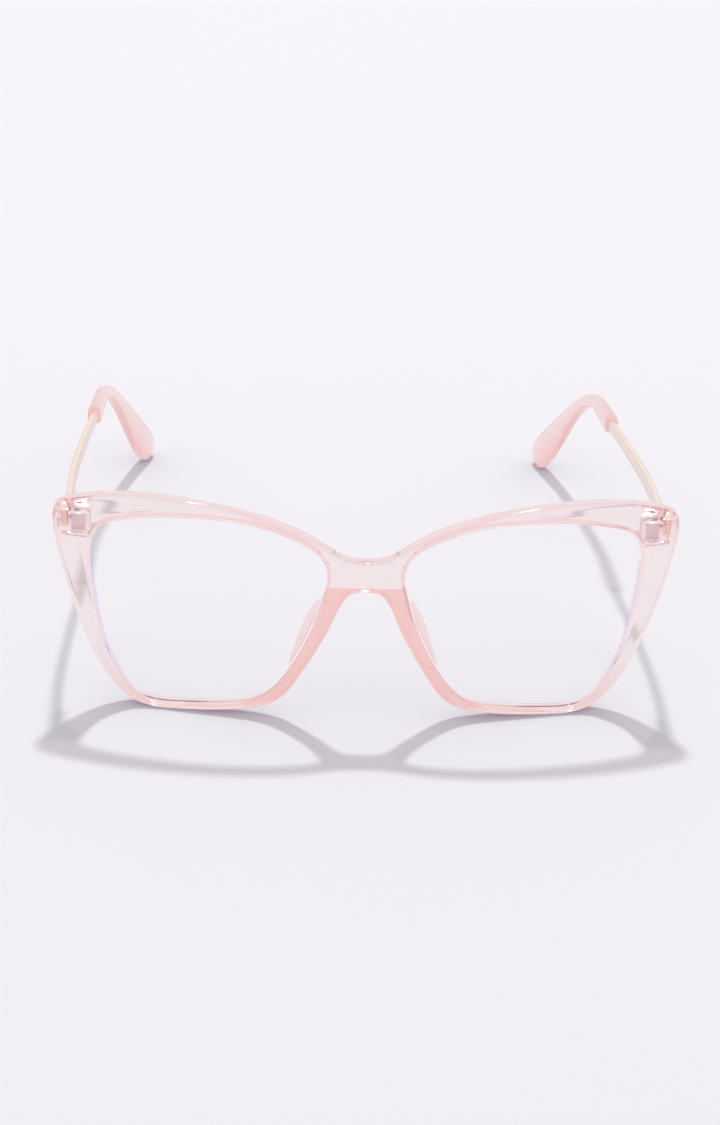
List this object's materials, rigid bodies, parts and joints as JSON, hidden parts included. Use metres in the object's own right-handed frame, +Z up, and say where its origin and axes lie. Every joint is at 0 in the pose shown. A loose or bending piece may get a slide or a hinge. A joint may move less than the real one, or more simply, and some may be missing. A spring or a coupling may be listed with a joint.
{
  "type": "blue light glasses",
  "caption": "Lightweight glasses with a clear pink cat-eye front, two clear lenses and slim metal temples that end in pink tips and fold behind the front.",
  "frame": {"origin": "middle of the open glasses' footprint on the surface they rest on", "axes": "+X to the right as seen from the front, -Y towards the viewer of the front, +Z up"},
  "size_m": [0.1424, 0.1416, 0.0542],
  "materials": {
    "pink_moulding": "polished see-through pale pink moulding",
    "lens_clear": "clear coated plastic lens",
    "steel": "satin",
    "gold": "satin champagne gold plating",
    "pink_tip": "smooth see-through pink moulding"
  },
  "bodies": {
    "front": {"front_frame": "pink_moulding", "lens_left": "lens_clear", "lens_right": "lens_clear", "hinge_front_left": "steel", "hinge_front_right": "steel", "hinge_screw_left": "steel", "hinge_screw_right": "steel"},
    "temple_left": {"hinge_temple_left": "steel", "temple_bar_left": "gold", "temple_tip_left": "pink_tip"},
    "temple_right": {"hinge_temple_right": "steel", "temple_bar_right": "gold", "temple_tip_right": "pink_tip"}
  },
  "joints": [
    {"name": "temple_fold_left", "type": "hinge", "parent": "front", "child": "temple_left", "pos_m": [-0.0651, -0.05347, 0.0444], "axis": [0, 0, -1], "range_deg": [0, 86]},
    {"name": "temple_fold_right", "type": "hinge", "parent": "front", "child": "temple_right", "pos_m": [0.0651, -0.05347, 0.0444], "axis": [0, 0, 1], "range_deg": [-3.4, 76]}
  ]
}
